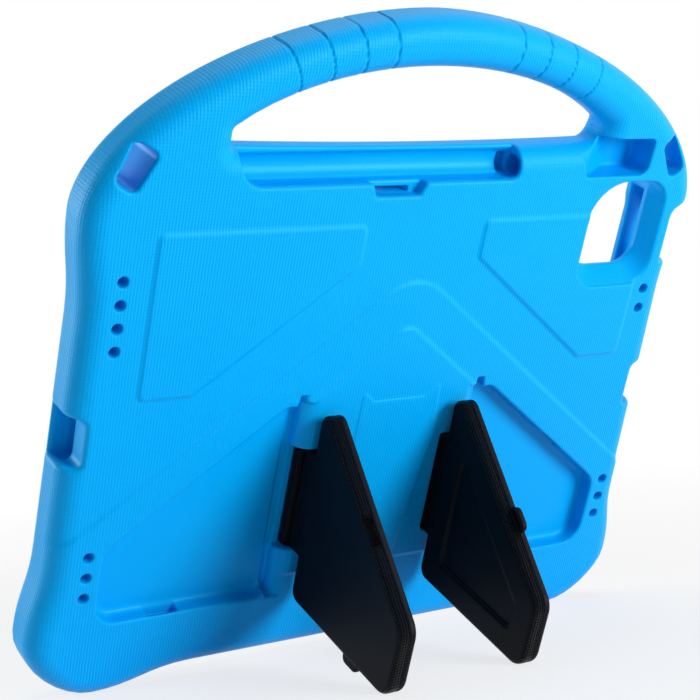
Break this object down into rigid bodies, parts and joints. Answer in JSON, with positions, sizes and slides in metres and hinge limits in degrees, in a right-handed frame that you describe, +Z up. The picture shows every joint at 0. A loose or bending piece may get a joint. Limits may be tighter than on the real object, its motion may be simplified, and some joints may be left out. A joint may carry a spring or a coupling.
{
  "type": "tablet case",
  "caption": "Moulded foam tablet case with an arched carrying handle, a pencil channel and fold-out wing stands that hold it leaning back.",
  "frame": {"origin": "on the table, under the middle of the standing case's box", "axes": "+X to the right seen from behind the case, +Y from the wings towards the screen side, +Z up; the case leans back on its open wings"},
  "size_m": [0.2838, 0.1286, 0.2515],
  "materials": {
    "blue_foam": "matt moulded foam skin with a fine woven grain",
    "black_foam": "satin moulded foam skin with a coarser woven grain",
    "steel": "plain drawn rod",
    "pale_nylon": "plain extruded tube"
  },
  "bodies": {
    "shell": {"foam_shell": "blue_foam", "left_hinge_pin": "steel", "right_hinge_pin": "steel"},
    "left_stand": {"left_wing": "black_foam", "left_hinge_sleeve": "pale_nylon"},
    "right_stand": {"right_wing": "black_foam", "right_hinge_sleeve": "pale_nylon"}
  },
  "joints": [
    {"name": "left_wing_fold", "type": "hinge", "parent": "shell", "child": "left_stand", "pos_m": [-0.03295, 0.00418, 0.09932], "axis": [0, -0.4196, 0.9077], "range_deg": [-90, 0]},
    {"name": "right_wing_fold", "type": "hinge", "parent": "shell", "child": "right_stand", "pos_m": [0.03465, 0.00418, 0.09932], "axis": [0, -0.4196, 0.9077], "range_deg": [0, 90]}
  ]
}
